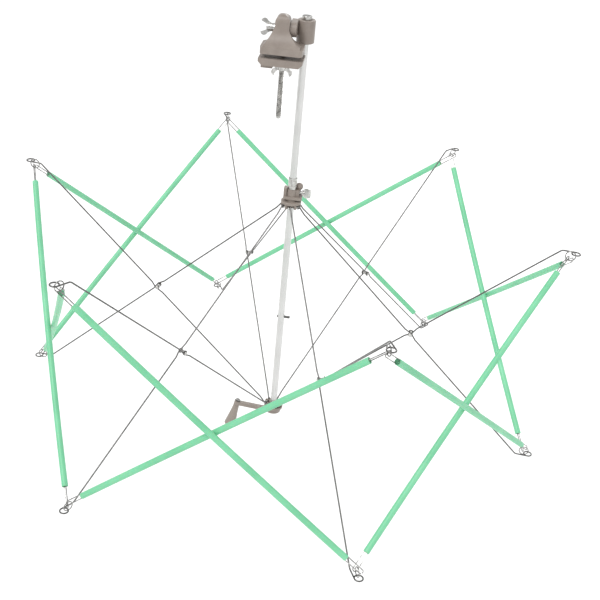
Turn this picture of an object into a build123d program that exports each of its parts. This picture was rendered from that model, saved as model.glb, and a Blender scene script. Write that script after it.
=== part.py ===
from build123d import *
import math
import os

# Yarn swift that hangs from a table clamp, in millimetres, +Z up.
# The origin is on the upper jaw's face that lies on the table top. The jaws open to -Y.
# Six scissor planes stand around the shaft. Each has a lower arm from the bottom hub to an
# upper tip, and an upper arm from the sliding collar to a lower tip, riveted at mid-length.
# Each upper tip is joined to the two neighbouring lower tips by sleeved side rods.

os.makedirs("parts", exist_ok=True)

# --- driving dimensions -------------------------------------------------------------------
PLANES = 6
FIRST_AZIMUTH = 113.0          # direction of the first scissor plane, from +X
OPENING = 42.5                 # rest angle of the arms above level
ARM_LENGTH = 400.0             # hub pivot to bend
ARM_WIRE = 1.0                 # wire radius of the arms
HUB_RADIUS = 9.0               # shaft axis to the arm pivots
ARM_SIDE = 3.5                 # each arm runs this far to the side of its plane's middle
LEAD = 15.0                    # bend to eye centre
TIP_EYE = 4.5                  # centre-line radius of the tip eyes
RING_RADIUS = 5.4              # centre-line radius of the tip rings
RING_WIRE = 0.6
RING_SLACK = 0.3
RING_HANG = 78.0               # ring centre below the eye's inner wire, from level
HOOK_SPREAD = 25.0             # the two side rods sit this far apart on the ring, each way
SLEEVE_RADIUS = 3.4
SLEEVE_BORE = 3.0
SLEEVE_SETBACK = 18.0          # hook seat to the mouth of the sleeve
ROD_BOW = 2.2                  # the rods bow past each other where they cross
HAIRPIN_HALF = 2.4             # the legs run this far each side of the rod's axis
HAIRPIN_WIRE = 0.55
HAIRPIN_INSERT = 7.0           # length of the legs inside the sleeve

SHAFT_X, SHAFT_Y = 20.5, 27.0
SHAFT_RADIUS = 4.0
HUB_Z = -448.0                 # plane of the bottom hub's arm pivots
CLEARANCE = 0.05               # radial clearance of the running fits
FIXED_CLEARANCE = 0.02         # radial clearance of the parts that are fixed together

# Side rods: chord, hook seat shifts, slack and loop tilt of the two mirrored families.
RISING = {
    "hand": 1, "seat": 0.77, "lift": 0.24, "chord": 404.87, "slack": 3.2, "tilt": 18.0, "drop": 38.65
}
FALLING = {
    "hand": -1, "seat": 0.31, "lift": 0.15, "chord": 400.82, "slack": 2.0, "tilt": 50.0, "drop": 39.54
}

STEP_AZIMUTH = 360.0 / PLANES
COLLAR_Z = HUB_Z + ARM_LENGTH * math.sin(math.radians(OPENING))
UP = Vector(0, 0, 1)


# --- helpers ------------------------------------------------------------------------------
def radial(azimuth):
    return Vector(math.cos(math.radians(azimuth)), math.sin(math.radians(azimuth)), 0)


def tangential(azimuth):
    return UP.cross(radial(azimuth))


def around_shaft(azimuth, radius, side, height):
    base = Vector(SHAFT_X, SHAFT_Y, height)
    return base + radial(azimuth) * radius + tangential(azimuth) * side


def plane_azimuth(number):
    return FIRST_AZIMUTH + STEP_AZIMUTH * (number - 1)


def wire_run(points, bend_radius):
    """Straight runs joined by tangent arcs, drawn into the open BuildLine."""
    start = points[0]
    for before, corner, after in zip(points, points[1:], points[2:]):
        back = (before - corner).normalized()
        ahead = (after - corner).normalized()
        half = math.radians(back.get_angle(ahead)) / 2
        arc_start = corner + back * (bend_radius / math.tan(half))
        arc_end = corner + ahead * (bend_radius / math.tan(half))
        inward = (back + ahead).normalized()
        arc_middle = corner + inward * (bend_radius / math.sin(half) - bend_radius)
        Line(start, arc_start)
        ThreePointArc(arc_start, arc_middle, arc_end)
        start = arc_end
    Line(start, points[-1])


def finish(part, name):
    part.label = name
    export_step(part, f"parts/{name}.step")


# --- clamp --------------------------------------------------------------------------------
JAW_WIDTH = 44.0
JAW_FRONT, JAW_BACK = -13.0, 17.0
JAW_LIP = 7.0                  # height of the square lower edge of the upper jaw
BODY_TOP = 37.0
BOSS_LEFT, BOSS_RIGHT = -9.5, 5.5
BOLT_Y, BOLT_Z = 11.0, 22.0    # swivel bolt, along X
BOLT_RADIUS = 2.5
SCREW_Y = 11.0                 # clamp screw, vertical
SCREW_RADIUS = 3.0
SCREW_TOP, SCREW_BOTTOM = 14.0, -73.0
JAW_GAP = 4.4
LOWER_JAW_BOTTOM = -11.8
BELL_BACK = 1.5                # the wide front shell ends here, in front of the swivel's neck
BELL_FOOT = 19.0               # half width of the shell above the square lip

with BuildPart() as side_outline:
    with BuildSketch(Plane.YZ.offset(-JAW_WIDTH)):
        with BuildLine():
            Line((JAW_FRONT, 0), (JAW_BACK, 0))
            Line((JAW_BACK, 0), (JAW_BACK, BODY_TOP - 6))
            ThreePointArc((JAW_BACK, BODY_TOP - 6), (15.4, BODY_TOP - 1.7), (12, BODY_TOP))
            Line((12, BODY_TOP), (8, BODY_TOP))
            ThreePointArc((8, BODY_TOP), (3.4, BODY_TOP - 2.2), (1.5, BODY_TOP - 7))
            ThreePointArc((1.5, BODY_TOP - 7), (-2.4, 15.5), (JAW_FRONT, JAW_LIP))
            Line((JAW_FRONT, JAW_LIP), (JAW_FRONT, 0))
        make_face()
    extrude(amount=2 * JAW_WIDTH)

with BuildPart() as bell_shell:
    with BuildSketch(Plane.XZ.offset(-BELL_BACK)):
        with BuildLine():
            Line((-BELL_FOOT, 6), (BELL_FOOT, 6))
            Line((BELL_FOOT, 6), (BELL_FOOT, 8))
            ThreePointArc((BELL_FOOT, 8), (10.6, 14.4), (BOSS_RIGHT - 1, 25.0))
            Line((BOSS_RIGHT - 1, 25.0), (BOSS_LEFT + 1, 28.5))
            ThreePointArc((BOSS_LEFT + 1, 28.5), (-13.8, 15.6), (-BELL_FOOT, 8))
            Line((-BELL_FOOT, 8), (-BELL_FOOT, 6))
        make_face()
    extrude(amount=BELL_BACK - JAW_FRONT)
    add(side_outline.part, mode=Mode.INTERSECT)

with BuildPart() as clamp_body:
    with BuildSketch(Plane.XZ.offset(-JAW_BACK)):
        with BuildLine():
            half = JAW_WIDTH / 2
            boss_radius = (BOSS_RIGHT - BOSS_LEFT) / 2
            Line((-half, 0), (half, 0))
            Line((half, 0), (half, JAW_LIP))
            ThreePointArc((half, JAW_LIP), (BOSS_RIGHT + 5.0, 9.6), (BOSS_RIGHT, 13.6))
            Line((BOSS_RIGHT, 13.6), (BOSS_RIGHT, BODY_TOP - boss_radius))
            ThreePointArc(
                (BOSS_RIGHT, BODY_TOP - boss_radius),
                (BOSS_RIGHT - boss_radius, BODY_TOP),
                (BOSS_LEFT, BODY_TOP - boss_radius),
            )
            Line((BOSS_LEFT, BODY_TOP - boss_radius), (BOSS_LEFT, 15.5))
            ThreePointArc((BOSS_LEFT, 15.5), (BOSS_LEFT - 4.0, 9.9), (-half, JAW_LIP))
            Line((-half, JAW_LIP), (-half, 0))
        make_face()
    extrude(amount=JAW_BACK - JAW_FRONT)
    add(side_outline.part, mode=Mode.INTERSECT)
    corners = clamp_body.edges().filter_by(Axis.Z).filter_by(
        lambda edge: edge.center().Z < JAW_LIP
    )
    fillet(corners, radius=4.0)
    add(bell_shell.part)
    with Locations((0, SCREW_Y, SCREW_TOP / 2)):
        Cylinder(SCREW_RADIUS + FIXED_CLEARANCE, SCREW_TOP, mode=Mode.SUBTRACT)
    with Locations(Plane(origin=(0, BOLT_Y, BOLT_Z), z_dir=(1, 0, 0))):
        Cylinder(BOLT_RADIUS + CLEARANCE, 2 * JAW_WIDTH, mode=Mode.SUBTRACT)
finish(clamp_body.part, "clamp_body")

with BuildPart() as lower_jaw:
    with BuildSketch(Plane.XZ.offset(-JAW_BACK)):
        with BuildLine():
            Polyline(
                (-23, -JAW_GAP),
                (23, -JAW_GAP),
                (23, -JAW_GAP - 3.4),
                (19, LOWER_JAW_BOTTOM),
                (-19, LOWER_JAW_BOTTOM),
                (-23, -JAW_GAP - 3.4),
                close=True,
            )
        make_face()
    extrude(amount=JAW_BACK - JAW_FRONT)
    with Locations((-14.5, 2.0, LOWER_JAW_BOTTOM - 2)):
        Box(12, 16, 4)
    with Locations((0, SCREW_Y, LOWER_JAW_BOTTOM)):
        Cylinder(SCREW_RADIUS + 0.1, 30, mode=Mode.SUBTRACT)
finish(lower_jaw.part, "lower_jaw")

with BuildPart() as clamp_screw:
    with BuildSketch(Plane.XY.offset(SCREW_BOTTOM)):
        with Locations((0, SCREW_Y)):
            Circle(SCREW_RADIUS)
    extrude(amount=SCREW_TOP - SCREW_BOTTOM)
    chamfer(clamp_screw.faces().sort_by(Axis.Z)[0].edges(), length=0.8)
finish(clamp_screw.part, "clamp_screw")


def wing_nut(base, axis, wing_line, bore, hub_radius, hub_length, reach):
    """Hub with two flared wings. The axis points from the seat face to the wings."""
    seat = Plane(origin=base, x_dir=wing_line, z_dir=axis)
    side = Plane(origin=base, x_dir=wing_line, z_dir=wing_line.cross(axis))
    with BuildPart() as nut:
        with BuildSketch(seat):
            Circle(hub_radius)
        extrude(amount=hub_length, taper=6)
        with BuildSketch(side):
            for hand in (1, -1):
                with BuildLine():
                    Line((hand * 2.6, 1.5), (hand * (reach - 2.5), hub_length - 1))
                    ThreePointArc(
                        (hand * (reach - 2.5), hub_length - 1),
                        (hand * reach, hub_length + 3),
                        (hand * (reach - 3), hub_length + 6),
                    )
                    ThreePointArc(
                        (hand * (reach - 3), hub_length + 6),
                        (hand * (reach - 5), hub_length + 1.5),
                        (hand * 2.6, hub_length - 0.5),
                    )
                    Line((hand * 2.6, hub_length - 0.5), (hand * 2.6, 1.5))
                make_face()
        extrude(amount=1.1, both=True)
        if bore:
            with Locations(seat.offset(hub_length)):
                Cylinder(bore, 4 * hub_length, mode=Mode.SUBTRACT)
    return nut.part


NUT_TOP = LOWER_JAW_BOTTOM - 0.3
clamp_wing_nut = wing_nut(
    Vector(0, SCREW_Y, NUT_TOP), -UP, Vector(1, 0, 0), SCREW_RADIUS + CLEARANCE, 4.8, 9.0, 11.0
)
finish(clamp_wing_nut, "clamp_wing_nut")

# --- swivel -------------------------------------------------------------------------------
BARREL_RADIUS = 9.5
BARREL_BOTTOM, BARREL_TOP = 6.0, 30.0
NECK_LEFT, NECK_RIGHT = 5.7, 12.5
NECK_RADIUS = 7.6

with BuildPart() as swivel_barrel:
    with BuildSketch(Plane.XY.offset(BARREL_BOTTOM)):
        with Locations((SHAFT_X, SHAFT_Y)):
            Circle(BARREL_RADIUS)
    extrude(amount=BARREL_TOP - BARREL_BOTTOM)
    fillet(swivel_barrel.edges().filter_by(GeomType.CIRCLE), radius=1.2)
    with BuildSketch(Plane.YZ.offset(NECK_LEFT)):
        with Locations((BOLT_Y, BOLT_Z)):
            Circle(NECK_RADIUS)
        with Locations(((BOLT_Y + SHAFT_Y) / 2, BOLT_Z)):
            Rectangle(SHAFT_Y - BOLT_Y, 2 * NECK_RADIUS)
    extrude(amount=NECK_RIGHT - NECK_LEFT)
    with Locations((SHAFT_X, SHAFT_Y, BARREL_TOP)):
        Cylinder(SHAFT_RADIUS + CLEARANCE, 100, mode=Mode.SUBTRACT)
    with Locations(Plane(origin=(NECK_LEFT, BOLT_Y, BOLT_Z), z_dir=(1, 0, 0))):
        Cylinder(BOLT_RADIUS + CLEARANCE, 3 * (NECK_RIGHT - NECK_LEFT), mode=Mode.SUBTRACT)
finish(swivel_barrel.part, "swivel_barrel")

WING_HUB_LENGTH = 9.0
with BuildPart() as swivel_screw:
    add(
        wing_nut(
            Vector(BOSS_LEFT - 0.3, BOLT_Y, BOLT_Z),
            Vector(-1, 0, 0),
            Vector(0, 0.30, 0.954).normalized(),
            0,
            4.6,
            WING_HUB_LENGTH,
            8.5,
        )
    )
    with BuildSketch(Plane.YZ.offset(BOSS_LEFT - 2)):
        with Locations((BOLT_Y, BOLT_Z)):
            Circle(BOLT_RADIUS)
    extrude(amount=NECK_RIGHT - 1 - BOSS_LEFT + 2)
finish(swivel_screw.part, "swivel_screw")

# --- shaft --------------------------------------------------------------------------------
SHAFT_BOTTOM = HUB_Z - 8.0
PIN_Z = HUB_Z + 125.0
PIN_RADIUS = 1.5

with BuildPart() as shaft:
    with BuildSketch(Plane.XY.offset(SHAFT_BOTTOM)):
        with Locations((SHAFT_X, SHAFT_Y)):
            Circle(SHAFT_RADIUS)
    extrude(amount=BARREL_TOP + 0.3 - SHAFT_BOTTOM)
    with Locations((SHAFT_X, SHAFT_Y, BARREL_TOP - 4)):
        Cylinder(1.6, 12, mode=Mode.SUBTRACT)
    with Locations(Plane(origin=(SHAFT_X, SHAFT_Y, PIN_Z), z_dir=(1, 0, 0))):
        Cylinder(PIN_RADIUS + FIXED_CLEARANCE, 20, mode=Mode.SUBTRACT)
finish(shaft.part, "shaft")

with BuildPart() as shaft_cap_screw:
    with BuildSketch(Plane.XY.offset(BARREL_TOP - 8)):
        with Locations((SHAFT_X, SHAFT_Y)):
            Circle(1.55)
    extrude(amount=8.6)
    with BuildSketch(Plane.XY.offset(BARREL_TOP + 0.4)):
        with Locations((SHAFT_X, SHAFT_Y)):
            Circle(5.2)
    extrude(amount=3.6)
    fillet(shaft_cap_screw.faces().sort_by(Axis.Z)[-1].edges(), radius=1.0)
    with Locations((SHAFT_X, SHAFT_Y, BARREL_TOP + 3.6)):
        Box(12, 1.2, 1.6, mode=Mode.SUBTRACT)
finish(shaft_cap_screw.part, "shaft_cap_screw")

with BuildPart() as stop_pin:
    with BuildSketch(Plane.YZ.offset(SHAFT_X - SHAFT_RADIUS - 0.8)):
        with Locations((SHAFT_Y, PIN_Z)):
            Circle(PIN_RADIUS)
    extrude(amount=2 * SHAFT_RADIUS + 7.3)
    chamfer(stop_pin.edges().filter_by(GeomType.CIRCLE), length=0.3)
finish(stop_pin.part, "stop_pin")

# --- pivot rings that carry the arms' inner eyes ------------------------------------------
PIVOT_WIRE = 0.85
PIVOT_BEND = 1.2
EYE_LENGTH = 2.2               # width of the arms' drilled eyes
LUG_SIDE = -2.0                # the holding lugs stand beside each arm's eye
DISC_GAP = 2.7                 # pivot plane to the disc


def pivot_ring(height, wire_radius):
    """Hexagonal wire ring, one straight side across each scissor plane."""
    corner_radius = HUB_RADIUS / math.cos(math.radians(STEP_AZIMUTH / 2))
    corners = [
        around_shaft(plane_azimuth(number) + STEP_AZIMUTH / 2, corner_radius, 0, height)
        for number in range(1, PLANES + 1)
    ]
    start = (corners[0] + corners[-1]) / 2
    with BuildPart() as ring:
        with BuildLine() as path:
            wire_run([start] + corners + [start], PIVOT_BEND)
        with BuildSketch(Plane(origin=start, z_dir=corners[0] - start)):
            Circle(wire_radius)
        sweep(path=path.line)
    return ring.part


def pivot_lugs(height, toward_disc):
    """Lugs between the disc and just past the pivot ring, drawn into the open BuildPart."""
    for number in range(1, PLANES + 1):
        azimuth = plane_azimuth(number)
        middle = around_shaft(azimuth, HUB_RADIUS, LUG_SIDE * toward_disc, height)
        middle += UP * (-toward_disc * (DISC_GAP - 1.4) / 2)
        with Locations(Plane(origin=middle, x_dir=radial(azimuth), z_dir=UP)):
            Box(4.0, 2.4, DISC_GAP + 1.6)


hub_pivot_ring = pivot_ring(HUB_Z, PIVOT_WIRE)
hub_ring_room = pivot_ring(HUB_Z, PIVOT_WIRE + CLEARANCE)
collar_pivot_ring = pivot_ring(COLLAR_Z, PIVOT_WIRE)
collar_ring_room = pivot_ring(COLLAR_Z, PIVOT_WIRE + CLEARANCE)
finish(hub_pivot_ring, "hub_pivot_ring")
finish(collar_pivot_ring, "collar_pivot_ring")

# --- bottom hub and crank -----------------------------------------------------------------
HUB_DISC_RADIUS = 11.6
HUB_DISC = 4.0

with BuildPart() as bottom_hub:
    with BuildSketch(Plane.XY.offset(HUB_Z - DISC_GAP - HUB_DISC)):
        with Locations((SHAFT_X, SHAFT_Y)):
            Circle(HUB_DISC_RADIUS)
    extrude(amount=HUB_DISC)
    fillet(bottom_hub.faces().sort_by(Axis.Z)[0].edges(), radius=1.2)
    with BuildSketch(Plane.XY.offset(HUB_Z - DISC_GAP - HUB_DISC)):
        with Locations((SHAFT_X, SHAFT_Y)):
            Circle(5.9)
    extrude(amount=HUB_DISC + 5.5)
    pivot_lugs(HUB_Z, 1)
    add(hub_ring_room, mode=Mode.SUBTRACT)
    with Locations((SHAFT_X, SHAFT_Y, HUB_Z)):
        Cylinder(SHAFT_RADIUS + FIXED_CLEARANCE, 40, mode=Mode.SUBTRACT)
finish(bottom_hub.part, "bottom_hub")

CRANK_TOP = HUB_Z - DISC_GAP - HUB_DISC - 0.1
CRANK_THICKNESS = 4.6
CRANK_REACH = 46.0
KNOB_LEAN = 13.0
KNOB_LENGTH = 31.0
KNOB_PIN = 1.6
crank_end = Vector(SHAFT_X - CRANK_REACH, SHAFT_Y - 2, CRANK_TOP - CRANK_THICKNESS / 2 + 3.0)
knob_axis = Vector(-math.sin(math.radians(KNOB_LEAN)), 0, -math.cos(math.radians(KNOB_LEAN)))
knob_seat = Plane(origin=crank_end + knob_axis * 3.6, x_dir=(0, 1, 0), z_dir=knob_axis)

with BuildPart() as crank_arm:
    with BuildSketch(Plane.XY.offset(CRANK_TOP - CRANK_THICKNESS)):
        with Locations((SHAFT_X, SHAFT_Y)):
            Circle(9.2)
    extrude(amount=CRANK_THICKNESS)
    with BuildSketch(Plane.XZ.offset(-SHAFT_Y - 0.6)):
        with BuildLine():
            top = CRANK_TOP
            Polyline(
                (SHAFT_X - 6, top),
                (SHAFT_X - 14, top),
                (crank_end.X - 2.5, crank_end.Z + 2.2),
                (crank_end.X - 4.0, crank_end.Z - 2.4),
                (SHAFT_X - 14, top - CRANK_THICKNESS),
                (SHAFT_X - 6, top - CRANK_THICKNESS),
                close=True,
            )
        make_face()
    extrude(amount=5.2)
    with Locations(Plane(origin=crank_end, z_dir=knob_axis)):
        Cylinder(3.9, 6.0)
    with Locations((SHAFT_X, SHAFT_Y, CRANK_TOP)):
        Cylinder(SHAFT_RADIUS + FIXED_CLEARANCE, 40, mode=Mode.SUBTRACT)
    with Locations(Plane(origin=crank_end, z_dir=knob_axis)):
        Cylinder(KNOB_PIN + FIXED_CLEARANCE, 30, mode=Mode.SUBTRACT)
finish(crank_arm.part, "crank_arm")

with BuildPart() as crank_knob:
    with BuildSketch(knob_seat):
        Circle(3.6)
    with BuildSketch(knob_seat.offset(KNOB_LENGTH * 0.35)):
        Circle(4.6)
    with BuildSketch(knob_seat.offset(KNOB_LENGTH)):
        Circle(7.4)
    loft(ruled=True)
    fillet(crank_knob.faces().sort_by(Axis.Z)[0].edges(), radius=1.0)
    with Locations(knob_seat):
        Cylinder(KNOB_PIN + CLEARANCE, 2 * 16.0, mode=Mode.SUBTRACT)
finish(crank_knob.part, "crank_knob")

with BuildPart() as crank_pin:
    with BuildSketch(knob_seat.offset(15.0)):
        Circle(KNOB_PIN)
    extrude(amount=-21.8)
    with BuildSketch(knob_seat.offset(-6.8)):
        Circle(2.9)
    extrude(amount=-1.4)
finish(crank_pin.part, "crank_pin")

# --- sliding collar -----------------------------------------------------------------------
COLLAR_DISC_RADIUS = 11.6
COLLAR_DISC = 3.6
PLATE_BOTTOM, PLATE_TOP = 8.6, 12.0
PLATE_LEFT, PLATE_RIGHT = -9.2, 12.0
PLATE_WIDTH = 13.0
COLLAR_BOSS_TOP = 20.0
COLLAR_BOSS_RADIUS = 5.8
GUIDE_RIGHT = -5.4             # upright block left of the boss
THUMB_BOSS = 8.6               # reach of the boss that holds the thumb screw
THUMB_Z = COLLAR_Z + 16.0
THUMB_RADIUS = 2.0
CATCH_X, CATCH_Y = 7.6, 4.4    # catch knob behind the thumb screw
CATCH_RADIUS = 4.2
CATCH_TOP = 26.0
SLEEVE_TUBE_RADIUS = 5.0
SLEEVE_TUBE_LENGTH = 13.0
SLEEVE_SLOT = 1.6

with BuildPart() as collar:
    with BuildSketch(Plane.XY.offset(COLLAR_Z + DISC_GAP)):
        with Locations((SHAFT_X, SHAFT_Y)):
            Circle(COLLAR_DISC_RADIUS)
    extrude(amount=COLLAR_DISC)
    fillet(collar.edges().filter_by(GeomType.CIRCLE), radius=1.0)
    with BuildSketch(Plane.XY.offset(COLLAR_Z - 1.5)):
        with Locations((SHAFT_X, SHAFT_Y)):
            Circle(COLLAR_BOSS_RADIUS)
    extrude(amount=COLLAR_BOSS_TOP + 1.5)
    with BuildSketch(Plane.XY.offset(COLLAR_Z + PLATE_BOTTOM)):
        with Locations((SHAFT_X + (PLATE_LEFT + PLATE_RIGHT) / 2, SHAFT_Y)):
            RectangleRounded(PLATE_RIGHT - PLATE_LEFT, PLATE_WIDTH, 3.0)
    extrude(amount=PLATE_TOP - PLATE_BOTTOM)
    with BuildSketch(Plane.XY.offset(COLLAR_Z + PLATE_TOP - 0.5)):
        with Locations((SHAFT_X + (PLATE_LEFT + GUIDE_RIGHT) / 2, SHAFT_Y)):
            RectangleRounded(GUIDE_RIGHT - PLATE_LEFT, 9.0, 1.2)
    extrude(amount=COLLAR_BOSS_TOP + 1.5 - PLATE_TOP)
    with BuildSketch(Plane.XY.offset(COLLAR_Z + PLATE_TOP - 0.5)):
        with Locations((SHAFT_X + THUMB_BOSS / 2, SHAFT_Y)):
            Rectangle(THUMB_BOSS, 7.0)
    extrude(amount=COLLAR_BOSS_TOP + 0.3 - PLATE_TOP)
    with BuildSketch(Plane.XY.offset(COLLAR_Z + PLATE_TOP - 0.5)):
        with Locations((SHAFT_X + CATCH_X, SHAFT_Y + CATCH_Y)):
            Circle(2.0)
    extrude(amount=CATCH_TOP - CATCH_RADIUS - PLATE_TOP)
    with Locations((SHAFT_X + CATCH_X, SHAFT_Y + CATCH_Y, COLLAR_Z + CATCH_TOP - CATCH_RADIUS)):
        Sphere(CATCH_RADIUS)
    pivot_lugs(COLLAR_Z, -1)
    add(collar_ring_room, mode=Mode.SUBTRACT)
    with Locations((SHAFT_X, SHAFT_Y, COLLAR_Z)):
        Cylinder(SHAFT_RADIUS + CLEARANCE, 100, mode=Mode.SUBTRACT)
    with Locations(Plane(origin=(SHAFT_X + 9, SHAFT_Y, THUMB_Z), z_dir=(1, 0, 0))):
        Cylinder(THUMB_RADIUS + CLEARANCE, 16, mode=Mode.SUBTRACT)
    with Locations((SHAFT_X, SHAFT_Y, COLLAR_Z + COLLAR_BOSS_TOP + SLEEVE_TUBE_LENGTH / 2)):
        Cylinder(SLEEVE_TUBE_RADIUS + 0.1, SLEEVE_TUBE_LENGTH, mode=Mode.SUBTRACT)
finish(collar.part, "collar")

with BuildPart() as collar_sleeve:
    with BuildSketch(Plane.XY.offset(COLLAR_Z + COLLAR_BOSS_TOP + 0.1)):
        with Locations((SHAFT_X, SHAFT_Y)):
            Circle(SLEEVE_TUBE_RADIUS)
            Circle(SHAFT_RADIUS + CLEARANCE, mode=Mode.SUBTRACT)
    extrude(amount=SLEEVE_TUBE_LENGTH)
    with Locations((SHAFT_X, SHAFT_Y - 5, COLLAR_Z + COLLAR_BOSS_TOP + SLEEVE_TUBE_LENGTH - 4)):
        Box(SLEEVE_SLOT, 6, SLEEVE_TUBE_LENGTH - 4, mode=Mode.SUBTRACT)
finish(collar_sleeve.part, "collar_sleeve")

with BuildPart() as collar_thumb_screw:
    with BuildSketch(Plane.YZ.offset(SHAFT_X + SHAFT_RADIUS + 0.15)):
        with Locations((SHAFT_Y, THUMB_Z)):
            Circle(THUMB_RADIUS)
    extrude(amount=9)
    with BuildSketch(Plane.YZ.offset(SHAFT_X + 11.4)):
        with Locations((SHAFT_Y, THUMB_Z)):
            Circle(3.2)
    extrude(amount=3)
    with BuildSketch(Plane.XZ.offset(-SHAFT_Y - 0.8)):
        with Locations((SHAFT_X + 17, THUMB_Z)):
            RectangleRounded(9, 11, 3.4)
    extrude(amount=1.6)
finish(collar_thumb_screw.part, "collar_thumb_screw")


# --- arms, rivets, tip rings --------------------------------------------------------------
HUB_EYE_RADIUS = 2.0
CROSS_EYE_RADIUS = 3.0
RIVET_RADIUS = 1.1
RIVET_HEAD = 2.1
BEND_RADIUS = 5.0
LOOP_TURN = 322.0              # the tip eye stops short of closing on itself
opening = math.radians(OPENING)


def scissor_arm(azimuth, hub_height, rise):
    """Wire arm from a hub pivot to a tip eye. rise is 1 upward and -1 downward."""
    side = ARM_SIDE * rise

    def spot(radius, height, shift=0.0):
        return around_shaft(azimuth, radius, side + shift * rise, hub_height + rise * height)

    def along(distance):
        return spot(
            HUB_RADIUS + distance * math.cos(opening), distance * math.sin(opening)
        )

    bend = along(ARM_LENGTH)
    tip_radius = HUB_RADIUS + ARM_LENGTH * math.cos(opening) + LEAD
    tip_height = ARM_LENGTH * math.sin(opening)

    def loop_spot(turn):
        angle = math.radians(turn)
        return spot(
            tip_radius + TIP_EYE * math.sin(angle),
            tip_height,
            TIP_EYE * (math.cos(angle) - 1),
        )

    direction = (bend - along(0)).normalized()
    with BuildPart() as arm:
        with BuildLine() as inner:
            Line(along(HUB_EYE_RADIUS - 0.5), along(ARM_LENGTH / 2 - CROSS_EYE_RADIUS + 0.5))
        with BuildSketch(Plane(origin=inner.line @ 0, z_dir=direction)):
            Circle(ARM_WIRE)
        sweep(path=inner.line)
        with BuildLine() as outer:
            wire_run(
                [along(ARM_LENGTH / 2 + CROSS_EYE_RADIUS - 0.5), bend, loop_spot(0)], BEND_RADIUS
            )
            ThreePointArc(loop_spot(0), loop_spot(LOOP_TURN / 2), loop_spot(LOOP_TURN))
        with BuildSketch(Plane(origin=outer.line @ 0, z_dir=direction)):
            Circle(ARM_WIRE)
        sweep(path=outer.line)
        for distance, radius in ((0, HUB_EYE_RADIUS), (ARM_LENGTH / 2, CROSS_EYE_RADIUS)):
            with Locations(Plane(origin=along(distance), z_dir=tangential(azimuth))):
                Cylinder(radius, EYE_LENGTH)
        for distance, radius in ((0, PIVOT_WIRE), (ARM_LENGTH / 2, RIVET_RADIUS)):
            with Locations(Plane(origin=along(distance), z_dir=tangential(azimuth))):
                Cylinder(radius + CLEARANCE, 2 * EYE_LENGTH, mode=Mode.SUBTRACT)
    return arm.part


def crossing_rivet(azimuth):
    middle = around_shaft(
        azimuth,
        HUB_RADIUS + ARM_LENGTH / 2 * math.cos(opening),
        0,
        (HUB_Z + COLLAR_Z) / 2,
    )
    across = Plane(origin=middle, z_dir=tangential(azimuth))
    eye_outer = ARM_SIDE + EYE_LENGTH / 2 + CLEARANCE
    eye_inner = ARM_SIDE - EYE_LENGTH / 2 - CLEARANCE
    with BuildPart() as rivet:
        with Locations(across):
            Cylinder(RIVET_RADIUS, 2 * eye_outer + 1.0)
            Cylinder(RIVET_HEAD, 2 * eye_inner)
        for hand in (1, -1):
            with Locations(across.offset(hand * (eye_outer + 0.5))):
                Cylinder(RIVET_HEAD, 1.0)
    return rivet.part


def ring_centre(azimuth, rise):
    hang = RING_RADIUS - RING_WIRE - ARM_WIRE - RING_SLACK
    angle = math.radians(RING_HANG)
    eye_height = ARM_LENGTH * math.sin(opening) - hang * math.sin(angle)
    base = HUB_Z if rise > 0 else COLLAR_Z
    radius = HUB_RADIUS + ARM_LENGTH * math.cos(opening) + LEAD - TIP_EYE
    radius -= hang * math.cos(angle)
    return around_shaft(azimuth, radius, (ARM_SIDE - TIP_EYE) * rise, base + rise * eye_height)


def tip_ring(azimuth, rise):
    with BuildPart() as ring:
        with Locations(Plane(origin=ring_centre(azimuth, rise), z_dir=tangential(azimuth))):
            Torus(RING_RADIUS, RING_WIRE)
    return ring.part


def hook_spot(azimuth, rise, family):
    angle = math.radians(RING_HANG + family["hand"] * HOOK_SPREAD)
    spot = ring_centre(azimuth, rise) - radial(azimuth) * (RING_RADIUS * math.cos(angle))
    return spot - UP * (rise * RING_RADIUS * math.sin(angle))


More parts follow.
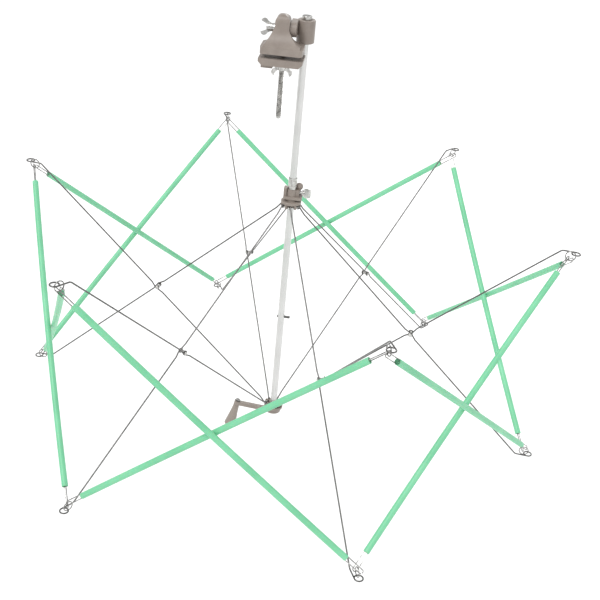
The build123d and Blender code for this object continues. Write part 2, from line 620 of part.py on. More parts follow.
def side_rod(azimuth, family):
    """Sleeve and two hairpin hooks, from the upper tip at this azimuth to the next lower tip."""
    hand = family["hand"]
    outward = radial(azimuth + hand * STEP_AZIMUTH / 2)
    level = tangential(azimuth + hand * STEP_AZIMUTH / 2) * hand
    drop = math.radians(family["drop"])
    direction = level * math.cos(drop) - UP * math.sin(drop)
    normal = level * math.sin(drop) + UP * math.cos(drop)
    chord = family["chord"]
    seat = hook_spot(azimuth, 1, family) + direction * family["seat"] + normal * family["lift"]

    def rod_spot(distance):
        bow = 4 * ROD_BOW * distance * (chord - distance) / chord**2
        return seat + direction * distance + outward * (hand * bow)

    slope = 4 * ROD_BOW * (chord - 2 * SLEEVE_SETBACK) / chord**2
    tilt = math.radians(family["tilt"])
    ends = (
        (SLEEVE_SETBACK, -direction - outward * (hand * slope), normal),
        (chord - SLEEVE_SETBACK, direction - outward * (hand * slope), normal * -1),
    )
    mouth, far_mouth = rod_spot(SLEEVE_SETBACK), rod_spot(chord - SLEEVE_SETBACK)
    with BuildPart() as rod:
        with BuildLine() as path:
            ThreePointArc(mouth, rod_spot(chord / 2), far_mouth)
        with BuildSketch(Plane(origin=mouth, z_dir=path.line % 0)):
            Circle(SLEEVE_RADIUS)
            Circle(SLEEVE_BORE, mode=Mode.SUBTRACT)
        sweep(path=path.line)
        for distance, axis, lean in ends:
            axis = axis.normalized()
            face = (outward * -math.cos(tilt) + lean * math.sin(tilt)).normalized()
            across = axis.cross(face).normalized()
            base = rod_spot(distance)
            reach = SLEEVE_SETBACK + family["slack"]
            legs = [
                [base + axis * depth + across * width for depth in (-HAIRPIN_INSERT, reach)]
                for width in (HAIRPIN_HALF, -HAIRPIN_HALF)
            ]
            crown = base + axis * (reach + HAIRPIN_HALF)
            with BuildLine() as hairpin:
                Line(legs[0][0], legs[0][1])
                ThreePointArc(legs[0][1], crown, legs[1][1])
                Line(legs[1][1], legs[1][0])
            with BuildSketch(Plane(origin=legs[0][0], z_dir=axis)):
                Circle(HAIRPIN_WIRE)
            sweep(path=hairpin.line)
    return rod.part


for number in range(1, PLANES + 1):
    azimuth = plane_azimuth(number)
    finish(scissor_arm(azimuth, HUB_Z, 1), f"lower_arm_{number}")
    finish(scissor_arm(azimuth, COLLAR_Z, -1), f"upper_arm_{number}")
    finish(crossing_rivet(azimuth), f"crossing_rivet_{number}")
    finish(tip_ring(azimuth, 1), f"upper_tip_ring_{number}")
    finish(tip_ring(azimuth, -1), f"lower_tip_ring_{number}")
    finish(side_rod(azimuth, RISING), f"side_rod_left_{number}")
    finish(side_rod(azimuth, FALLING), f"side_rod_right_{number}")
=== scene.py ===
# %% [markdown]
# # A yarn swift on a table clamp
#
# A swift is a folding reel. A skein of yarn is laid over its side rods, and the reel turns as
# the yarn is wound off. This one hangs upside down from a clamp: a shaft comes down from the
# clamp, a hub with a crank sits at its lower end, and a collar slides on it. Six pairs of wire
# arms cross between hub and collar like scissors, and twelve rods in green plastic tube join
# their tips into a crown of zigzags.
#
# The mechanical model is already made and packed. Its castings, screws and shaft have the right
# shape, so they stay and get better finishes. The wire arms, rings, rivets, side rods and the
# clamp screw are modelled again here, because wire is where this object gets its character.

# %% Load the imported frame
import math

import bmesh
import bpy
from mathutils import Matrix, Vector


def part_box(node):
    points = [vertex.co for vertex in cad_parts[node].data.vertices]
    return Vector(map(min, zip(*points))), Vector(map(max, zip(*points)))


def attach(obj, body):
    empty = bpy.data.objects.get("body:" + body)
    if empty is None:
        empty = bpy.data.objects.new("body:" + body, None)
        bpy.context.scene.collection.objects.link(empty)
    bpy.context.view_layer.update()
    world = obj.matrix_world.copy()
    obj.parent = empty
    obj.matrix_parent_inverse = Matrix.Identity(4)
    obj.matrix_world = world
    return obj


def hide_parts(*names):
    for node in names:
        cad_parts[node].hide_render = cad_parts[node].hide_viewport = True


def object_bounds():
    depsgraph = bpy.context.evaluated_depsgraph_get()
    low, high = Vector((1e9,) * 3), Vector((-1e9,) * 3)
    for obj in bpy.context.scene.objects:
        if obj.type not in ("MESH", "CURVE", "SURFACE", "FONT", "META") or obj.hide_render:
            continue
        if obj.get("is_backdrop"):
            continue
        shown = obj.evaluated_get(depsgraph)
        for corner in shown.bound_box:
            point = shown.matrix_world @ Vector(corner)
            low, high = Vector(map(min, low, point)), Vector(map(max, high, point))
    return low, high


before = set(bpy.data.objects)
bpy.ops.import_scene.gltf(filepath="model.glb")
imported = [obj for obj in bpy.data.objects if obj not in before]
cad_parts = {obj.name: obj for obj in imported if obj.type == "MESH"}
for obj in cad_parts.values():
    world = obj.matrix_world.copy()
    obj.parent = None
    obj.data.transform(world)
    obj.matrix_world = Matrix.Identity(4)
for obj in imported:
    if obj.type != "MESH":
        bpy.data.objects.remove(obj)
cad_box = [list(corner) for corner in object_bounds()]
print("box of the mechanical model", cad_box)

# %% [markdown]
# ## Measurements that everything shares
#
# Everything is in metres. The shaft's place is read from its box. Six scissor planes stand
# around it, one every 60 degrees. The ring at each tip is read from its own box, so the new
# rods and arms meet the rings exactly where the model has them.

# %% Shared measurements
MM = 0.001
PLANES = 6
FIRST_PLANE = 113.0
STEP = 360.0 / PLANES
OPENING = math.radians(42.5)
ARM_LENGTH = 400 * MM
ARM_WIRE = 0.85 * MM
HUB_RADIUS = 9 * MM
ARM_SIDE = 3.5 * MM
UP = Vector((0, 0, 1))


def middle(node):
    low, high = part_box(node)
    return (low + high) / 2


SHAFT = Vector((middle("shaft").x, middle("shaft").y, 0))
HUB_Z = middle("hub_pivot_ring").z
COLLAR_Z = middle("collar_pivot_ring").z
print("shaft at", SHAFT, "hub plane", HUB_Z, "collar plane", COLLAR_Z)


def plane_angle(number):
    return FIRST_PLANE + STEP * (number - 1)


def outward(angle):
    return Vector((math.cos(math.radians(angle)), math.sin(math.radians(angle)), 0))


def sideways(angle):
    return UP.cross(outward(angle))


# %% [markdown]
# ## Camera
#
# The swift is seen from a little above and from the front, through a moderately long lens. The
# camera stands so close that the near side rods look clearly larger than the far ones. The
# three rows are the camera's right, up and back directions.

# %% Camera
right = Vector((0.98991571, 0.11667991, 0.08032858))
up = Vector((-0.12744502, 0.48599962, 0.86461675))
back = Vector((0.06184374, -0.86613519, 0.49596894))
camera_data = bpy.data.cameras.new("camera")
camera = bpy.data.objects.new("camera", camera_data)
bpy.context.scene.collection.objects.link(camera)
camera.matrix_world = Matrix.Translation((0.10867, -1.04576, 0.27840)) @ Matrix(
    (right, up, back)
).transposed().to_4x4()
camera_data.lens = 61.4
camera_data.sensor_width = 36.0
camera_data.shift_x = 0.0171
camera_data.shift_y = 0.0446
camera_data.clip_start = 0.01
camera_data.clip_end = 50.0
bpy.context.scene.camera = camera
print("camera", camera.location, "lens", camera_data.lens)

# %% [markdown]
# ## Finishes
#
# Seven finishes cover the swift. All are procedural: noise on Object coordinates gives each one
# its grain, and nothing depends on an image. Because every mesh is in its true place in metres,
# a noise scale of 1000 makes spots about a millimetre wide on every piece.
#
# A small builder saves repeating the node wiring. It makes a material, hands back its shader,
# and offers short calls for noise, colour ramps and bump.


# %% A small builder for node materials
class Finish:
    def __init__(self, name):
        self.material = bpy.data.materials.new(name)
        self.material.use_nodes = True
        self.nodes = self.material.node_tree.nodes
        self.links = self.material.node_tree.links
        self.shader = self.nodes["Principled BSDF"]
        self.place = self.nodes.new("ShaderNodeTexCoord").outputs["Object"]
        print("finish", name)

    def mapped(self, stretch=(1, 1, 1)):
        mapping = self.nodes.new("ShaderNodeMapping")
        mapping.inputs["Scale"].default_value = stretch
        self.links.new(self.place, mapping.inputs["Vector"])
        return mapping.outputs["Vector"]

    def noise(self, scale, detail=3.0, roughness=0.5, stretch=(1, 1, 1)):
        noise = self.nodes.new("ShaderNodeTexNoise")
        noise.inputs["Scale"].default_value = scale
        noise.inputs["Detail"].default_value = detail
        noise.inputs["Roughness"].default_value = roughness
        self.links.new(self.mapped(stretch), noise.inputs["Vector"])
        return noise.outputs["Fac"]

    def ramp(self, value, *stops):
        ramp = self.nodes.new("ShaderNodeValToRGB")
        elements = ramp.color_ramp.elements
        while len(elements) < len(stops):
            elements.new(0.5)
        for element, (position, colour) in zip(elements, stops):
            element.position = position
            element.color = (*colour, 1)
        self.links.new(value, ramp.inputs["Fac"])
        return ramp.outputs["Color"]

    def grey_ramp(self, value, *stops):
        return self.ramp(value, *((at, (level,) * 3) for at, level in stops))

    def mix(self, share, first, second):
        """The first colour, and the second, fixed one where share is high."""
        mix = self.nodes.new("ShaderNodeMix")
        mix.data_type = "RGBA"
        ends = {socket.name: socket for socket in mix.inputs if socket.enabled}
        self.links.new(share, ends["Factor"])
        self.links.new(first, ends["A"])
        ends["B"].default_value = (*second, 1)
        return [socket for socket in mix.outputs if socket.enabled][0]

    def bump(self, height, strength, depth):
        bump = self.nodes.new("ShaderNodeBump")
        bump.inputs["Strength"].default_value = strength
        bump.inputs["Distance"].default_value = depth
        self.links.new(height, bump.inputs["Height"])
        last = self.shader.inputs["Normal"]
        if last.is_linked:
            self.links.new(last.links[0].from_socket, bump.inputs["Normal"])
        self.links.new(bump.outputs["Normal"], last)

    def drive(self, socket, source):
        self.links.new(source, self.shader.inputs[socket])

    def fixed(self, **values):
        for name, value in values.items():
            self.shader.inputs[name.replace("_", " ")].default_value = value


# %% [markdown]
# ### Painted casting
#
# The clamp, barrel, hub, crank and collar are die castings in a warm grey satin paint. A die
# casting is smooth but never perfect: the paint has a faint orange peel, its tone drifts a
# little from place to place, and it is rubbed thin and lighter where hands and the table wear
# it. Fine noise makes the peel as bump, and slow noise moves the tone and the gloss.

# %% Painted casting
casting = Finish("painted_casting")
slow = casting.noise(70, 4, 0.6)
fine = casting.noise(1500, 2, 0.5)
speck = casting.noise(420, 5, 0.65)
tone = casting.ramp(
    slow,
    (0.30, (0.224, 0.187, 0.162)),
    (0.52, (0.257, 0.217, 0.189)),
    (0.75, (0.29, 0.25, 0.217)),
)
rub = casting.grey_ramp(speck, (0.62, 0.0), (0.74, 0.55))
casting.drive("Base Color", casting.mix(rub, tone, (0.34, 0.30, 0.27)))
casting.drive("Roughness", casting.grey_ramp(slow, (0.3, 0.36), (0.7, 0.50)))
casting.bump(fine, 0.25, 0.12 * MM)
casting.bump(speck, 0.18, 0.25 * MM)
casting.fixed(Metallic=0.0, Coat_Weight=0.15, Coat_Roughness=0.25)

# %% [markdown]
# ### Drawn shaft
#
# The shaft is a bright rod, drawn through a die and rubbed by the sliding collar. Drawing
# leaves hair lines along its length, so the noise is stretched a hundred times along Z. It
# reads nearly white under a large soft light, which needs high colour and medium roughness.

# %% Drawn shaft
drawn = Finish("drawn_shaft")
lines = drawn.noise(900, 3, 0.6, stretch=(1, 1, 0.01))
bands = drawn.noise(28, 3, 0.5, stretch=(0.2, 0.2, 1))
drawn.drive(
    "Base Color", drawn.ramp(bands, (0.3, (0.58, 0.58, 0.57)), (0.7, (0.70, 0.70, 0.69)))
)
drawn.drive("Roughness", drawn.grey_ramp(lines, (0.25, 0.26), (0.8, 0.42)))
drawn.bump(lines, 0.25, 0.05 * MM)
drawn.fixed(Metallic=0.85)

# %% [markdown]
# ### Plated small parts
#
# Screws, wing nuts, rivets and the collar's sleeve are nickel plated. Plating follows the
# stamped or cast surface below it, so it is bright with soft dents, and a few dull clouds
# where it has tarnished.

# %% Plated small parts
plated = Finish("plated_steel")
cloud = plated.noise(220, 4, 0.6)
dents = plated.noise(650, 2, 0.4)
plated.drive(
    "Base Color", plated.ramp(cloud, (0.3, (0.34, 0.335, 0.32)), (0.65, (0.66, 0.65, 0.63)))
)
plated.drive("Roughness", plated.grey_ramp(cloud, (0.3, 0.34), (0.7, 0.16)))
plated.bump(dents, 0.22, 0.15 * MM)
plated.fixed(Metallic=1.0)

# %% [markdown]
# ### Spring wire
#
# The arms are spring wire. Its colour is painted darker than the plated parts, as a painted
# reflection of the dark surroundings that a thin wire mirrors, and its drawn skin is slightly
# uneven along its length.

# %% Spring wire
wire = Finish("spring_wire")
skin = wire.noise(160, 4, 0.65)
grain = wire.noise(1800, 2, 0.5)
# Base colour: the dark stops are a painted reflection of dark surroundings; the skin noise gives
# the uneven drawn surface.
wire.drive(
    "Base Color", wire.ramp(skin, (0.3, (0.12, 0.117, 0.115)), (0.7, (0.19, 0.186, 0.182)))
)
wire.drive("Roughness", wire.grey_ramp(skin, (0.3, 0.38), (0.7, 0.24)))
wire.bump(grain, 0.2, 0.04 * MM)
wire.fixed(Metallic=1.0)

# %% [markdown]
# ### Bright wire
#
# The tip rings and the rod hooks are the same wire before it darkens: nickel bright, with dark
# streaks of tarnish. The streaks also paint in the flicker between light and dark that reflections
# make along each bend, so this contrast is partly tarnish and partly painted reflection. The
# streaks are a noise with strong contrast, and a low roughness keeps the reflections sharp.

# %% Bright wire
bright = Finish("bright_wire")
tarnish_and_glint = bright.noise(330, 3, 0.6)
# Base colour: dark tarnish streaks together with a painted reflection flicker of light and dark.
bright.drive(
    "Base Color", bright.ramp(tarnish_and_glint, (0.35, (0.13, 0.128, 0.125)), (0.68, (0.52, 0.515, 0.50)))
)
bright.drive("Roughness", bright.grey_ramp(tarnish_and_glint, (0.3, 0.30), (0.7, 0.14)))
bright.bump(tarnish_and_glint, 0.15, 0.05 * MM)
bright.fixed(Metallic=1.0)

# %% [markdown]
# ### Dark steel
#
# The stop pin and the crank's pin are plain oiled steel, almost black.

# %% Dark steel
oiled = Finish("oiled_steel")
film = oiled.noise(380, 4, 0.6)
oiled.drive(
    "Base Color", oiled.ramp(film, (0.3, (0.07, 0.068, 0.066)), (0.7, (0.17, 0.165, 0.16)))
)
oiled.drive("Roughness", oiled.grey_ramp(film, (0.3, 0.45), (0.7, 0.28)))
oiled.bump(film, 0.15, 0.08 * MM)
oiled.fixed(Metallic=1.0)

# %% [markdown]
# ### Green tube
#
# The side rods wear a soft mint green plastic tube. Extruded tube is very smooth, with a soft
# gloss and a faint drift of tone, and a little light soaks into it, which keeps its shaded
# side bright. It rubs paler where yarn drags over it.

# %% Green tube
tube_green = Finish("green_tube")
drift = tube_green.noise(26, 3, 0.5)
scuff = tube_green.noise(300, 5, 0.7)
green = tube_green.ramp(
    drift,
    (0.32, (0.165, 0.530, 0.300)),
    (0.55, (0.195, 0.580, 0.337)),
    (0.80, (0.230, 0.620, 0.380)),
)
worn = tube_green.grey_ramp(scuff, (0.60, 0.0), (0.78, 0.35))
tube_green.drive("Base Color", tube_green.mix(worn, green, (0.34, 0.68, 0.48)))
tube_green.drive("Roughness", tube_green.grey_ramp(scuff, (0.35, 0.34), (0.7, 0.52)))
tube_green.bump(scuff, 0.12, 0.10 * MM)
tube_green.fixed(Subsurface_Weight=0.15, Subsurface_Scale=2 * MM, IOR=1.48)

# %% [markdown]
# ## Give the kept parts their finish
#
# These nodes already have the right shape. Each one only swaps its material. The list goes by
# finish, so that no part is forgotten.

# %% Finish the kept parts
kept = {
    casting: (
        "clamp_body", "lower_jaw", "swivel_barrel", "bottom_hub", "crank_arm", "crank_knob",
        "collar",
    ),
    drawn: ("shaft",),
    plated: (
        "clamp_wing_nut", "swivel_screw", "shaft_cap_screw", "hub_pivot_ring", "collar_pivot_ring",
        "collar_sleeve", "collar_thumb_screw",
    ),
    oiled: ("stop_pin", "crank_pin"),
}
for finish, names in kept.items():
    for name in names:
        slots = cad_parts[name].material_slots
        for slot in slots:
            slot.material = finish.material
print("refinished", sum(len(names) for names in kept.values()), "parts")

# %% [markdown]
# ## Wire
#
# Bent wire is a round section that follows a line. A circle is made at every station of the
# line, turned square to it, and each pair of neighbouring circles is bridged. The line itself
# is a list of corner points, and each corner is rounded to the bend radius of the tool that
# bent it. Carrying one direction along the line from station to station stops the section
# from twisting.


# %% Rounded lines and wire
END_CROWN = 0.15               # a cut end stands proud by this share of the wire's radius
CREASE = math.radians(38)      # sharper edges than this stay sharp when the rest is smoothed


def rounded(points, radius, steps=6):
    """The line through the points, with an arc of that radius at each corner."""
    line = [points[0].copy()]
    for before, corner, after in zip(points, points[1:], points[2:]):
        away, ahead = (before - corner).normalized(), (after - corner).normalized()
        half = away.angle(ahead) / 2
        reach = radius / math.tan(half)
        centre = corner + (away + ahead).normalized() * (radius / math.sin(half))
        first, last = corner + away * reach - centre, corner + ahead * reach - centre
        turn = first.angle(last)
        axis = first.cross(last).normalized()
        for step in range(steps + 1):
            line.append(centre + Matrix.Rotation(turn * step / steps, 3, axis) @ first)
    line.append(points[-1].copy())
    return line


def arc(centre, start, axis, degrees, steps):
    """Points on an arc that begins at start and turns about the axis through centre."""
    spoke = start - centre
    turns = [math.radians(degrees) * step / steps for step in range(steps + 1)]
    return [centre + Matrix.Rotation(turn, 3, axis) @ spoke for turn in turns]


def rings_along(bm, line, radii, segments, closed=False):
    """One circle of vertices at each station, square to the line."""
    rings = []
    count = len(line)
    side = None
    for index, point in enumerate(line):
        following = line[(index + 1) % count] if closed else line[min(index + 1, count - 1)]
        previous = line[index - 1] if closed else line[max(index - 1, 0)]
        forward = (following - previous).normalized()
        side = forward.orthogonal() if side is None else side - forward * side.dot(forward)
        side.normalize()
        turn = Matrix((side, forward.cross(side), forward)).transposed().to_4x4()
        made = bmesh.ops.create_circle(
            bm,
            cap_ends=False,
            radius=radii[index],
            segments=segments,
            matrix=Matrix.Translation(point) @ turn,
        )
        rings.append(made["verts"])
    return rings


def edges_of(ring):
    chosen = set(ring)
    return [edge for edge in {e for v in ring for e in v.link_edges} if set(edge.verts) <= chosen]


def add_wire(bm, line, radius, segments=10, closed=False):
    """A solid wire along the line, with slightly rounded ends unless it closes on itself."""
    radii = [radius] * len(line)
    rings = rings_along(bm, line, radii, segments, closed)
    pairs = list(zip(rings, rings[1:])) + ([(rings[-1], rings[0])] if closed else [])
    loops = [edges_of(ring) for ring in rings]
    for index in range(len(pairs)):
        both = loops[index] + loops[(index + 1) % len(loops)]
        bmesh.ops.bridge_loops(bm, edges=both)
    if not closed:
        for loop in (loops[0], loops[-1]):
            cap = bmesh.ops.holes_fill(bm, edges=loop, sides=segments)["faces"]
            bmesh.ops.inset_region(bm, faces=cap, thickness=radius / 4, depth=radius * END_CROWN)


def piece_from(bm, name, finish, body, slot, *nodes):
    """Turns the bmesh into a finished piece that rides on a body and replaces the nodes."""
    bmesh.ops.recalc_face_normals(bm, faces=bm.faces)
    mesh = bpy.data.meshes.new(name)
    bm.to_mesh(mesh)
    bm.free()
    for face in mesh.polygons:
        face.use_smooth = True
    mesh.set_sharp_from_angle(angle=CREASE)
    mesh.materials.append(finish.material)
    piece = bpy.data.objects.new(name, mesh)
    bpy.context.scene.collection.objects.link(piece)
    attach(piece, body)
    if nodes:
        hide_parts(*nodes)
    return piece


# %% [markdown]
# ## Scissor arms
#
# Each arm is one length of spring wire, a little under two millimetres thick. A toolmaker
# would bend it on pegs: a small open eye that hooks over the hub's wire ring, a round eye at
# the middle where the rivet goes, a bend to level near the outer end, and an open eye that
# holds the tip ring. The middle eye is a full turn of the wire. The wire leaves it beside the
# place where it came in, so the turn climbs sideways like a spring.
#
# The lower arm starts at the hub and rises to an upper tip. The upper arm is the same wire,
# turned over: it starts at the collar and falls to a lower tip. One function makes both.

# %% Arm makers
LEAD = 15 * MM
TIP_EYE = 4.5 * MM
TIP_TURN = 322
BEND = 5 * MM
HUB_EYE = 1.75 * MM
HUB_TURN = 290
CROSS_EYE = 2.1 * MM
FIRST_STRAIGHT = 11 * MM
EYE_APPROACH = 9 * MM
EYE_CLIMB = 0.45 * MM


def arm_line(angle, base_z, rise):
    """Centre line of one arm, from its hub eye to the end of its tip eye."""
    out, side = outward(angle), sideways(angle) * rise

    def spot(radius, height, shift=0.0):
        level = SHAFT + out * radius + side * (ARM_SIDE + shift)
        return level + UP * (base_z + rise * height)

    def along(distance):
        return spot(
            HUB_RADIUS + distance * math.cos(OPENING), distance * math.sin(OPENING)
        )

    run = (along(1) - along(0)).normalized()
    square = run.cross(side)
    free_end = Matrix.Rotation(math.radians(HUB_TURN), 3, side) @ (square * -HUB_EYE)
    line = arc(along(0), along(0) + free_end, side, -HUB_TURN, 18)
    line.append(along(FIRST_STRAIGHT))
    crossing = along(ARM_LENGTH / 2)
    start = crossing - square * CROSS_EYE
    line.append(along(ARM_LENGTH / 2 - EYE_APPROACH))
    turn = arc(crossing, start, side, -360, 20)
    line += [
        point + side * (EYE_CLIMB * (2 * index / (len(turn) - 1) - 1))
        for index, point in enumerate(turn)
    ]
    line.append(along(ARM_LENGTH / 2 + EYE_APPROACH))
    tip_radius = HUB_RADIUS + ARM_LENGTH * math.cos(OPENING) + LEAD
    tip_height = ARM_LENGTH * math.sin(OPENING)
    first = spot(tip_radius, tip_height)
    line += rounded([along(ARM_LENGTH - 0.02), along(ARM_LENGTH), first], BEND)[:-1]
    centre = spot(tip_radius, tip_height, -TIP_EYE)
    line += arc(centre, first, -UP * rise, TIP_TURN, 30)
    return line


def add_arm(number, kind, base_z, rise):
    name = f"{kind}_arm_{number}"
    bm = bmesh.new()
    add_wire(bm, arm_line(plane_angle(number), base_z, rise), ARM_WIRE, 10)
    return piece_from(bm, f"{name}_wire", wire, name, "steel_wire", name)


# %% Make the twelve arms
for number in range(1, PLANES + 1):
    add_arm(number, "lower", HUB_Z, 1)
    made = add_arm(number, "upper", COLLAR_Z, -1)
print("arms", 2 * PLANES, "faces each", len(made.data.polygons))

# %% [markdown]
# ## Rivets where the arms cross
#
# A rivet is a pin whose ends are hammered into domes over a washer. It holds both eyes and
# keeps them apart. The profile of half the rivet, with its collar, washers and domes, is spun
# round its own axis.


# %% Rivet maker
def add_spun(bm, profile, place, segments=20):
    """Spins (distance along, radius) pairs round the Z axis of place."""
    verts = [bm.verts.new(place @ Vector((radius, 0, along))) for along, radius in profile]
    edges = [bm.edges.new(pair) for pair in zip(verts, verts[1:])]
    bmesh.ops.spin(
        bm,
        geom=verts + edges,
        cent=place.translation,
        axis=place.to_3x3() @ Vector((0, 0, 1)),
        angle=math.tau,
        steps=segments,
        use_merge=True,
    )
    bmesh.ops.remove_doubles(bm, verts=bm.verts, dist=1e-6)


def facing(origin, axis):
    return Matrix.Translation(origin) @ axis.to_track_quat("Z", "Y").to_matrix().to_4x4()


RIVET = [
    (-5.65, 0), (-5.55, 0.9), (-5.2, 1.65), (-4.75, 2.05), (-4.65, 2.05), (-4.65, 1.05),
    (-2.4, 1.05), (-2.35, 1.9), (-2.2, 2.05), (-0.5, 2.05), (-0.35, 1.6), (0.35, 1.6),
]
HALF_RIVET = [(along * MM, radius * MM) for along, radius in RIVET]
RIVET_PROFILE = HALF_RIVET + [(-along, radius) for along, radius in reversed(HALF_RIVET)]
for number in range(1, PLANES + 1):
    node = f"crossing_rivet_{number}"
    bm = bmesh.new()
    add_spun(bm, RIVET_PROFILE, facing(middle(node), sideways(plane_angle(number))))
    made = piece_from(bm, f"{node}_pin", plated, f"lower_arm_{number}", "bright_steel", node)
print("rivets", PLANES, "faces each", len(made.data.polygons))

# %% [markdown]
# ## Tip rings
#
# Each ring is cut from a coil of wire, so it has a small slit where its ends meet. It hangs
# in the open eye of an arm and carries the hooks of two side rods. It is modelled as a turn of
# wire with a thin gap, on the side away from the hooks.

# %% Tip rings
RING = 5.4 * MM
RING_WIRE = 0.6 * MM
SLIT = 5
for number in range(1, PLANES + 1):
    for tip in ("upper", "lower"):
        node = f"{tip}_tip_ring_{number}"
        centre, across = middle(node), sideways(plane_angle(number))
        start = centre + Matrix.Rotation(math.radians(SLIT / 2), 3, across) @ (
            outward(plane_angle(number)) * RING
        )
        bm = bmesh.new()
        add_wire(bm, arc(centre, start, across, 360 - SLIT, 40), RING_WIRE, 10)
        made = piece_from(
            bm, f"{node}_wire", bright, f"{tip}_ring_{number}", "bright_steel", node
        )
print("rings", 2 * PLANES, "faces each", len(made.data.polygons))

# %% [markdown]
# ## Side rods
#
# A side rod runs from an upper tip down to the lower tip beside it. It is a wire hook at each
# end and a green tube over both. The hook is a long hairpin: two straight legs and a round
# crown that hangs over the tip ring, loose enough to slide as the swift folds.
#
# Two mirrored families of rods make the zigzag. At each side a rod that goes one way crosses
# a rod that goes the other way, so both bow a little: one outwards, one inwards. The numbers
# below say where each family's hook sits on the ring, how long the rod is between its hooks,
# how far the hook can slide, how the hook leans and how steeply the rod falls.

# %% Side rod measurements
RING_HANG = 78
HOOK_SPREAD = 25
SETBACK = 18 * MM
ROD_BOW = 2.2 * MM
SLEEVE = 3.4 * MM
SLEEVE_BORE = 2.98 * MM
CUP = 4                        # station of the cup's floor
HOOK_HALF = 2.4 * MM
HOOK_WIRE = 0.55 * MM
HOOK_INSIDE = 7 * MM
FAMILIES = {
    "left": {
        "hand": 1, "shift": 0.77, "lift": 0.24, "chord": 404.87, "slide": 3.2, "lean": 18,
        "fall": 38.65,
    },
    "right": {
        "hand": -1, "shift": 0.31, "lift": 0.15, "chord": 400.82, "slide": 2.0, "lean": 50,
        "fall": 39.54,
    },
}


def rod_frame(number, family):
    """Directions of one rod and a function that gives the points of its bowed line."""
    hand = family["hand"]
    angle = plane_angle(number) + hand * STEP / 2
    out, level = outward(angle), sideways(angle) * hand
    fall = math.radians(family["fall"])
    along = level * math.cos(fall) - UP * math.sin(fall)
    normal = level * math.sin(fall) + UP * math.cos(fall)
    clock = math.radians(RING_HANG + hand * HOOK_SPREAD)
    seat = middle(f"upper_tip_ring_{number}")
    seat = seat - outward(plane_angle(number)) * (RING * math.cos(clock))
    seat = seat - UP * (RING * math.sin(clock))
    seat = seat + along * (family["shift"] * MM) + normal * (family["lift"] * MM)
    chord = family["chord"] * MM

    def spot(distance):
        bow = 4 * ROD_BOW * distance * (chord - distance) / chord**2
        return seat + along * distance + out * (hand * bow)

    slope = 4 * ROD_BOW * (chord - 2 * SETBACK) / chord**2
    ends = (
        (SETBACK, (-along - out * (hand * slope)).normalized(), normal),
        (chord - SETBACK, (along - out * (hand * slope)).normalized(), -normal),
    )
    return out, spot, chord, ends


# %% [markdown]
# The tube is bridged from circles like the wire. Its mouths are eased over a few close circles,
# as a cut tube that has been worked over its hooks is, and each mouth is a cup: a thin wall
# round the hook's legs, and a floor a few millimetres in, where the plastic closes on them.
# The wire hooks are pieces of their own, so that steel and plastic keep their own finishes.


# %% Side rod makers
def add_tube(bm, line, profile, segments=20):
    """A tube that follows (station, radius) pairs from the floor of one cup to the other's."""
    stations = [line[index] for index, radius in profile]
    directions = [
        (line[min(index + 1, len(line) - 1)] - line[max(index - 1, 0)]).normalized()
        for index, radius in profile
    ]
    side = directions[0].orthogonal()
    loops = []
    for point, forward, (index, radius) in zip(stations, directions, profile):
        side = (side - forward * side.dot(forward)).normalized()
        turn = Matrix((side, forward.cross(side), forward)).transposed().to_4x4()
        made = bmesh.ops.create_circle(
            bm,
            cap_ends=False,
            radius=radius,
            segments=segments,
            matrix=Matrix.Translation(point) @ turn,
        )
        loops.append(edges_of(made["verts"]))
    for first, second in zip(loops, loops[1:]):
        bmesh.ops.bridge_loops(bm, edges=first + second)
    for loop in (loops[0], loops[-1]):
        bmesh.ops.holes_fill(bm, edges=loop, sides=segments)


def sleeve_line(spot, chord):
    """Close stations at the mouths, wide ones between."""
    ease = [0.0, 0.12 * MM, 0.35 * MM, 0.8 * MM, 3.5 * MM, 8 * MM]
    length = chord - 2 * SETBACK
    inner = [length * step / 24 for step in range(1, 24)]
    places = ease + inner + [length - place for place in reversed(ease)]
    return [spot(SETBACK + place) for place in places]


def add_side_rod(number, side):
    family = FAMILIES[side]
    body = f"rod_{side}_{number}"
    node = f"side_rod_{side}_{number}"
    out, spot, chord, ends = rod_frame(number, family)
    line = sleeve_line(spot, chord)
    last = len(line) - 1
    rim = [(0, SLEEVE - 0.28 * MM), (1, SLEEVE - 0.12 * MM), (2, SLEEVE - 0.02 * MM)]
    outside = rim + [(index, SLEEVE) for index in range(3, last - 2)]
    outside += [(last - index, radius) for index, radius in reversed(rim)]
    near_cup = [(CUP, SLEEVE_BORE * 0.6), (CUP, SLEEVE_BORE), (0, SLEEVE_BORE)]
    far_cup = [(last - index, radius) for index, radius in reversed(near_cup)]
    bm = bmesh.new()
    add_tube(bm, line, near_cup + outside + far_cup)
    tube = piece_from(bm, f"{node}_tube", tube_green, body, "green_sleeve", node)
    lean = math.radians(family["lean"])
    reach = SETBACK + family["slide"] * MM
    bm = bmesh.new()
    for distance, axis, normal in ends:
        face = (out * -math.cos(lean) + normal * math.sin(lean)).normalized()
        across = axis.cross(face).normalized()
        base = spot(distance)
        foot = base - axis * HOOK_INSIDE + across * HOOK_HALF
        crown = arc(base + axis * reach, base + axis * reach + across * HOOK_HALF,
                    across.cross(axis).normalized(), 180, 12)
        add_wire(bm, [foot] + crown + [foot - across * (2 * HOOK_HALF)], HOOK_WIRE, 8)
    hooks = piece_from(bm, f"{node}_hooks", bright, body, "steel_wire")
    return tube, hooks


# %% Make the pieces of the twelve side rods
for number in range(1, PLANES + 1):
    for side in FAMILIES:
        tube, hooks = add_side_rod(number, side)
print("rods", 2 * PLANES, "tube faces", len(tube.data.polygons))
print("hook faces", len(hooks.data.polygons))

# %% [markdown]
# ## Clamp screw
#
# The clamp is drawn tight by a wing nut on a threaded rod. A thread is one ridge that winds
# round the rod. The ridge's profile, one millimetre of pitch long, is spun round the rod many
# times and rises a little at every step, so each turn meets the one below. The two ends stay
# plain, where the rod is turned down.


# %% Thread maker
PITCH = 1.0 * MM
THREAD_DEPTH = 0.55 * PITCH
PLAIN_END = 2.2 * MM
END_CHAMFER = 0.6 * MM


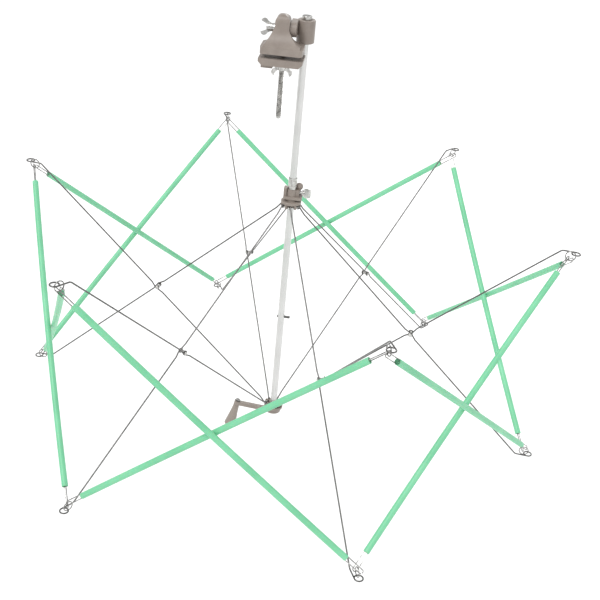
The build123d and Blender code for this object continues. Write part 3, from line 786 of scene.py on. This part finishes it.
def add_thread(bm, foot, axis, length, radius, segments=20):
    """The ridge of a thread from foot along axis, winding round a core made separately."""
    place = facing(foot, axis)
    turns = int(length / PITCH)
    root = radius - THREAD_DEPTH
    ridge = ((0.0, root), (0.38, radius), (0.52, radius), (0.90, root), (1.0, root))
    profile = [(share * PITCH, reach) for share, reach in ridge]
    verts = [bm.verts.new(place @ Vector((r, 0, a))) for a, r in profile]
    edges = [bm.edges.new(pair) for pair in zip(verts, verts[1:])]
    swept = bmesh.ops.spin(
        bm,
        geom=verts + edges,
        cent=foot,
        axis=axis,
        dvec=axis * (PITCH / segments),
        angle=math.tau * turns,
        steps=segments * turns,
    )
    far_end = [edge for edge in swept["geom_last"] if isinstance(edge, bmesh.types.BMEdge)]
    for end in (edges, far_end):
        bmesh.ops.contextual_create(bm, geom=end)
    bmesh.ops.remove_doubles(bm, verts=bm.verts, dist=1e-6)


# %% Make the clamp screw
screw_low, screw_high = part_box("clamp_screw")
screw_foot = Vector((middle("clamp_screw").x, middle("clamp_screw").y, screw_low.z))
SCREW_RADIUS = (screw_high.x - screw_low.x) / 2
bm = bmesh.new()
screw_length = screw_high.z - screw_low.z
thread_length = screw_length - 2 * PLAIN_END - PITCH
core = SCREW_RADIUS - THREAD_DEPTH
add_thread(bm, screw_foot + UP * PLAIN_END, UP, thread_length, SCREW_RADIUS)
core_profile = [
    (0, 0), (0, core - END_CHAMFER), (END_CHAMFER, core), (screw_length, core), (screw_length, 0),
]
add_spun(bm, core_profile, facing(screw_foot, UP))
piece_from(bm, "clamp_screw_thread", plated, "clamp", "bright_steel", "clamp_screw")
print("thread from", screw_low.z, "to", screw_high.z)

# %% [markdown]
# ## Floor and light
#
# The swift hangs from a table edge, so the floor is well below it. A pale seamless floor and a
# white surround give the soft light of a catalogue studio. The key light comes from the upper
# left, so far away that it lights the floor evenly, and so wide that shadows stay soft. A
# broad fill stands at the right, and a strip behind draws a highlight along wire and shaft.

# %% Floor
FLOOR_DROP = 0.30
FLOOR_HALF = 12.0
low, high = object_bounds()
bm = bmesh.new()
bmesh.ops.create_grid(bm, x_segments=1, y_segments=1, size=FLOOR_HALF)
bmesh.ops.translate(bm, verts=bm.verts, vec=(0, 0, low.z - FLOOR_DROP))
floor_mesh = bpy.data.meshes.new("floor")
bm.to_mesh(floor_mesh)
bm.free()
floor = bpy.data.objects.new("floor", floor_mesh)
bpy.context.scene.collection.objects.link(floor)
paper = Finish("white_paper")
fibre = paper.noise(40, 4, 0.6)
paper.drive("Base Color", paper.grey_ramp(fibre, (0.3, 0.93), (0.7, 0.95)))
paper.fixed(Roughness=0.9, IOR=1.2)
floor_mesh.materials.append(paper.material)
floor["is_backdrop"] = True
print("floor at", low.z - FLOOR_DROP)


# %% Lights and surround
def soft_light(name, place, target, size, power):
    data = bpy.data.lights.new(name, "AREA")
    data.shape = "SQUARE"
    data.size = size
    data.energy = power
    light = bpy.data.objects.new(name, data)
    bpy.context.scene.collection.objects.link(light)
    aim = (Vector(target) - Vector(place)).to_track_quat("-Z", "Y")
    light.matrix_world = Matrix.Translation(place) @ aim.to_matrix().to_4x4()
    print("light", name, power, "W")


aim = (low + high) / 2
soft_light("fill", (2.2, -1.4, 0.9), aim, 1.5, 10)
soft_light("strip", (0.6, 2.2, 1.2), aim, 1.0, 16)
key_data = bpy.data.lights.new("key", "SUN")
key_data.angle = math.radians(35)
key_data.energy = 1.7
key = bpy.data.objects.new("key", key_data)
bpy.context.scene.collection.objects.link(key)
key.rotation_euler = (math.radians(38), 0, math.radians(-40))
print("light key", key_data.energy, "W per square metre")
world = bpy.data.worlds.new("studio")
bpy.context.scene.world = world
world.use_nodes = True
sky = world.node_tree.nodes["Background"]
sky.inputs["Color"].default_value = (1, 1, 1, 1)
sky.inputs["Strength"].default_value = 0.72
bpy.context.scene.view_settings.view_transform = "Standard"

# %% [markdown]
# ## Sizes
#
# The box of the finished swift is printed beside the box of the mechanical model.

# %% Sizes
sizes = {"cad": cad_box, "visual": [list(corner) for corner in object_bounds()]}
for row in zip(*sizes["cad"], *sizes["visual"]):
    print("low and high, model then finished", [round(value, 4) for value in row])
